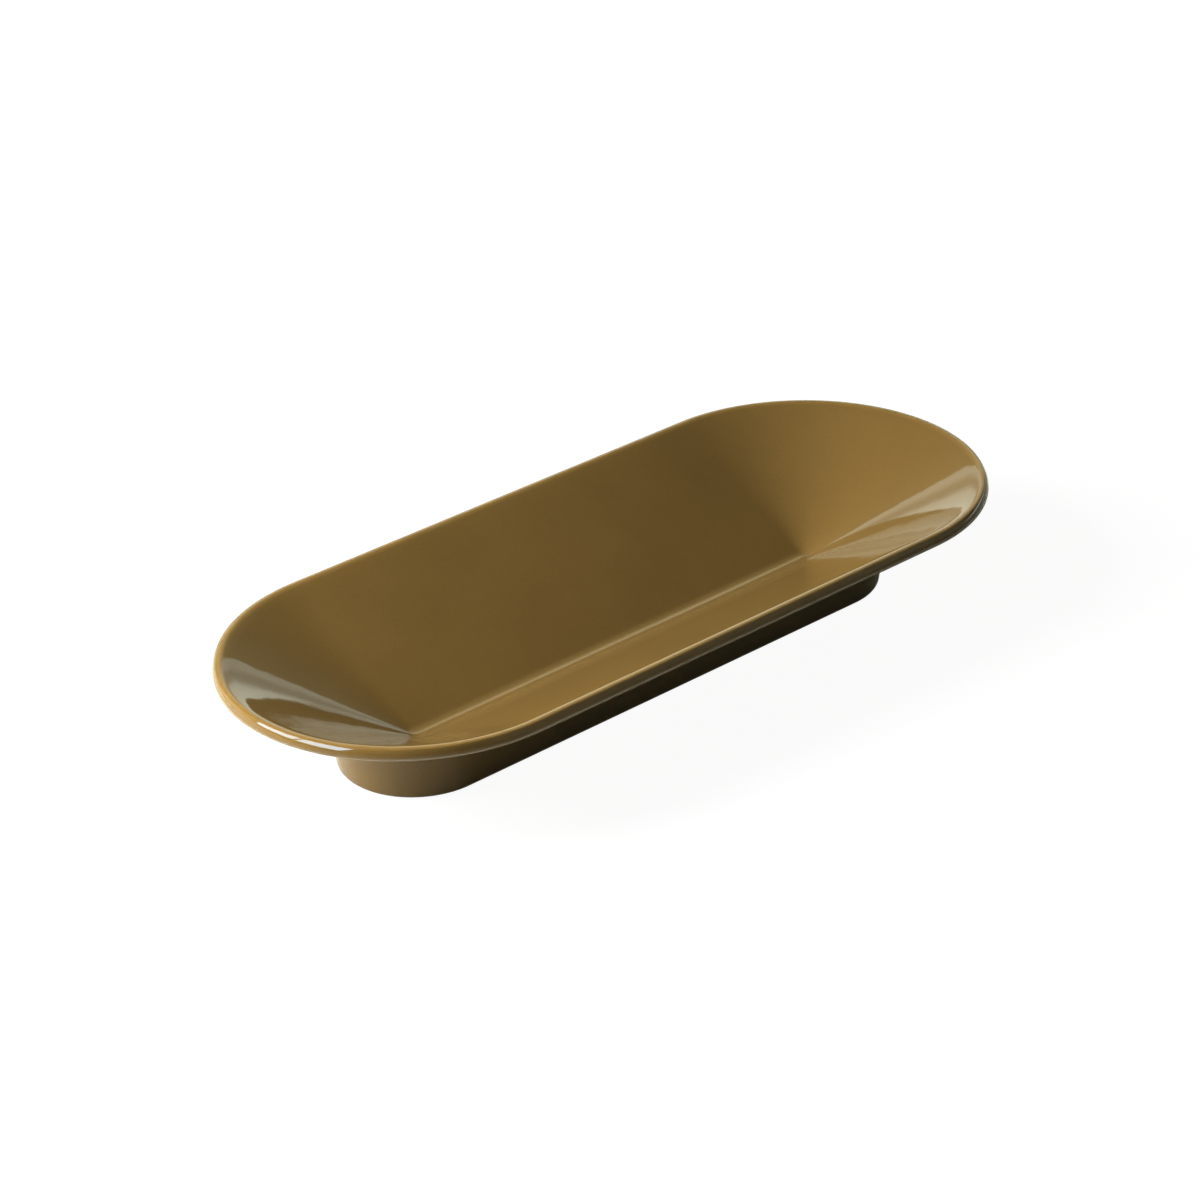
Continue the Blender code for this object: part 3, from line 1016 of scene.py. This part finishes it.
def add_world():
    """A dim room with a low white backdrop behind the bowl, and two walls that are faintly lit.

    Left and right are as the camera sees them. The camera itself sees plain white.
    """
    stage = bpy.context.scene.bowl_stage
    world = bpy.data.worlds.new("studio_world")
    world.use_nodes = True
    bpy.context.scene.world = world
    graph = NodeGraph(world.node_tree)
    background = world.node_tree.nodes["Background"]
    rays = graph.add("ShaderNodeLightPath").outputs
    # The first reflection has a depth of 1
    is_first = graph.math("LESS_THAN", rays["Glossy Depth"], 1.5)
    is_third = graph.math("GREATER_THAN", rays["Glossy Depth"], 2.5)
    direction = graph.add("ShaderNodeTexCoord").outputs["Generated"]
    aside = graph.dot(direction, facing(stage.spot_turn + RIGHT_ANGLE, 0.0))
    height = graph.split(direction)[2]

    # The backdrop is dimmer in a band along its middle, and above that dimmer to the right
    sheet = under_edge(graph, direction, stage.backdrop_turn, stage.backdrop_top)
    rise = graph.math("SUBTRACT", height, graph.math("MULTIPLY", aside, BACKDROP_SLANT))
    gain = graph.math("ADD", graph.math("MULTIPLY", aside, UPPER_GAIN), UPPER_LEVEL)
    upper = graph.math("MULTIPLY", graph.ramp(rise, *BACKDROP_UPPER), gain)
    shade = graph.math("ADD", graph.ramp(rise, *BACKDROP_LOWER), upper)
    direct = graph.math("MULTIPLY", sheet, shade)

    # A reflection of a reflection shows the backdrop's two ends, and the dark room between them
    right = beside_edge(graph, direction, *RIGHT_END)
    left = graph.ramp(aside, *BACKDROP_ENDS)
    edge = under_edge(graph, direction, stage.again_turn, stage.again_top)
    again = graph.math("MULTIPLY", graph.math("MAXIMUM", right, left), edge)
    ends = graph.ramp(graph.math("ABSOLUTE", aside), *BACKDROP_ENDS)
    deep = graph.math("MAXIMUM", graph.math("MULTIPLY", ends, is_third), DEEP_LEVEL)
    lit = graph.choose(is_first, graph.math("MAXIMUM", again, deep), direct)
    white = graph.math("MULTIPLY", lit, stage.backdrop_level)

    # A lamp behind the backdrop lights the wall above it
    away = graph.distance(direction, facing(stage.spot_turn, stage.spot_rise))
    spot = graph.ramp(away, SPOT_CORE, stage.spot_reach, SPOT_LEVEL, 0.0)
    patch = graph.math("MAXIMUM", spot, graph.ramp(away, *SPOT_HALO))
    shown = graph.math("MAXIMUM", graph.math("SUBTRACT", is_first, sheet), 0.0)
    warm = graph.math("MULTIPLY", graph.math("MULTIPLY", patch, shown), stage.backdrop_level)

    # The wall at the front, which only the gloss shows
    front_away = graph.distance(direction, facing(stage.front_turn, stage.front_rise))
    front = graph.math("MULTIPLY", graph.ramp(front_away, *FRONT_WALL), rays["Is Glossy Ray"])

    total = graph.mix(graph.math("MINIMUM", lit, 1.0), rgba(stage.room_colour), BLACK)
    total = graph.lighten(total, graph.scale(tuple(stage.backdrop_colour), white))
    total = graph.lighten(total, graph.scale(tuple(stage.spot_colour), warm))
    total = graph.lighten(total, graph.scale(tuple(stage.front_colour), front))
    graph.feed(background.inputs["Color"], graph.mix(seen_directly(graph, rays), total, WHITE))
    held_back = graph.math("MULTIPLY", rays["Is Diffuse Ray"], 1.0 - stage.room_share)
    graph.feed(background.inputs["Strength"], graph.math("SUBTRACT", 1.0, held_back))


def add_lamp(name, place, width, height, power, shift=0.0):
    """A flat lamp that the camera doesn't see, faces the bowl and is shifted along its width."""
    light = bpy.data.lights.new(name, "AREA")
    light.shape = "RECTANGLE"
    light.size = width
    light.size_y = height
    light.energy = power
    lamp = bpy.data.objects.new(name, light)
    aim = (-Vector(place)).to_track_quat("-Z", "Y").to_matrix().to_4x4()
    lamp.matrix_world = Matrix.Translation(place) @ aim @ Matrix.Translation((shift, 0.0, 0.0))
    lamp.visible_camera = False
    bpy.context.scene.collection.objects.link(lamp)
    return lamp


def add_lights():
    """A key lamp that the gloss doesn't show, and a softbox of two panels that it does."""
    stage = bpy.context.scene.bowl_stage
    key = add_lamp("key_lamp", stage.key_place, stage.key_size, stage.key_size, stage.key_power)
    key.visible_glossy = False
    width = (stage.softbox_width - stage.softbox_gap) / 2
    height = stage.softbox_height
    power = stage.softbox_power / 2
    offset = (width + stage.softbox_gap) / 2
    for shift in (-offset, offset):
        panel = add_lamp("softbox", stage.softbox_place, width, height, power, shift)
        panel.data.color = stage.softbox_colour
        panel.visible_diffuse = False


def add_camera():
    """Looks down at the bowl from its front left, turned a little round its own view."""
    stage = bpy.context.scene.bowl_stage
    data = bpy.data.cameras.new("studio_camera")
    data.sensor_width = SENSOR_WIDTH
    data.lens = stage.lens
    camera = bpy.data.objects.new("studio_camera", data)
    turn = Matrix.Rotation(-stage.azimuth, 4, "Z")
    tip = Matrix.Rotation(RIGHT_ANGLE - stage.elevation, 4, "X")
    roll = Matrix.Rotation(-stage.roll, 4, "Z")
    camera.matrix_world = Matrix.Translation(stage.camera_place) @ turn @ tip @ roll
    bpy.context.scene.collection.objects.link(camera)
    bpy.context.scene.camera = camera


# Operators


class SERVING_BOWL_OT_dish(Operator):
    """Add the valley dish: two flat slopes, half-cone ends and a softly rounded rim"""

    bl_idname = "serving_bowl.dish"
    bl_label = "Dish"

    def execute(self, context):
        sizes = context.scene.bowl_sizes
        material = lacquer_material("dish_lacquer", sizes.rim_height, NO_SCUFFS)
        dish = sweep_piece("lacquered_dish", dish_profile(sizes), False, material)
        settle(dish, "dish_lacquer", "dish")
        return {"FINISHED"}


class SERVING_BOWL_OT_foot(Operator):
    """Add the leaning foot band, scribed to the dish's underside"""

    bl_idname = "serving_bowl.foot"
    bl_label = "Foot Band"

    def execute(self, context):
        sizes = context.scene.bowl_sizes
        material = lacquer_material("foot_lacquer", NO_LIP_HIGHLIGHT, sizes.foot_bottom)
        foot = sweep_piece("lacquered_foot", foot_profile(sizes), True, material)
        settle(foot, "foot_lacquer", "foot_band")
        return {"FINISHED"}


class SERVING_BOWL_OT_board(Operator):
    """Add the board that lies in the foot's rebate and closes it"""

    bl_idname = "serving_bowl.board"
    bl_label = "Bottom Board"

    def execute(self, context):
        sizes = context.scene.bowl_sizes
        material = board_material("board_lacquer")
        board = sweep_piece("closing_board", board_profile(sizes), False, material)
        settle(board, "board_lacquer", "bottom_board")
        return {"FINISHED"}


class SERVING_BOWL_OT_pads(Operator):
    """Add the felt discs under the board, with their loose fibres"""

    bl_idname = "serving_bowl.pads"
    bl_label = "Felt Pads"

    def execute(self, context):
        sizes = context.scene.bowl_sizes
        pads = outline_object("felt_discs", pad_profile(sizes), False)
        sweep = bpy.data.node_groups.get("Obround Sweep") or obround_sweep_tree()
        values = {
            "Along": sizes.pad_along,
            "Across": sizes.pad_across,
            "Sides": PAD_SIDES,
            "Sharp Angle": PAD_SHARP_ANGLE,
            "Fibre Length": sizes.fibre_length,
            "Fibre Radius": sizes.fibre_radius,
            "Fibre Density": FIBRE_DENSITY,
            "Seed": FIBRE_SEED,
            "Material": felt_material("felt"),
        }
        grow(pads, felt_pads_tree(sweep), values)
        settle(pads, "felt", *PAD_NODES)
        return {"FINISHED"}


class SERVING_BOWL_OT_stage(Operator):
    """Set the studio: pale floor, dim room with a low white backdrop, lamps and camera"""

    bl_idname = "serving_bowl.stage"
    bl_label = "Studio"

    def execute(self, context):
        context.scene.view_settings.view_transform = "Standard"
        add_floor()
        add_world()
        add_lights()
        add_camera()
        return {"FINISHED"}


class SERVING_BOWL_PT_panel(Panel):
    """The bowl's pieces, sizes, finishes and studio in the 3D view's sidebar"""

    bl_idname = "SERVING_BOWL_PT_panel"
    bl_label = "Serving Bowl"
    bl_space_type = "VIEW_3D"
    bl_region_type = "UI"
    bl_category = "Serving Bowl"

    def draw(self, context):
        layout = self.layout
        for operator in OPERATORS:
            layout.operator(operator.bl_idname)
        for group_name in GROUPS:
            group = getattr(context.scene, group_name)
            box = layout.box()
            for name in group.__annotations__:
                box.prop(group, name)


GROUPS = {"bowl_sizes": BowlSizes, "bowl_finish": BowlFinish, "bowl_stage": StageSettings}
OPERATORS = (
    SERVING_BOWL_OT_dish,
    SERVING_BOWL_OT_foot,
    SERVING_BOWL_OT_board,
    SERVING_BOWL_OT_pads,
    SERVING_BOWL_OT_stage,
)
CLASSES = (*GROUPS.values(), *OPERATORS, SERVING_BOWL_PT_panel)


def register():
    for cls in CLASSES:
        bpy.utils.register_class(cls)
    for name, group in GROUPS.items():
        setattr(bpy.types.Scene, name, PointerProperty(type=group))


def unregister():
    for name in GROUPS:
        delattr(bpy.types.Scene, name)
    for cls in reversed(CLASSES):
        bpy.utils.unregister_class(cls)


def main():
    register()
    bpy.ops.serving_bowl.dish()
    bpy.ops.serving_bowl.foot()
    bpy.ops.serving_bowl.board()
    bpy.ops.serving_bowl.pads()
    bpy.ops.serving_bowl.stage()


if __name__ == "__main__":
    main()
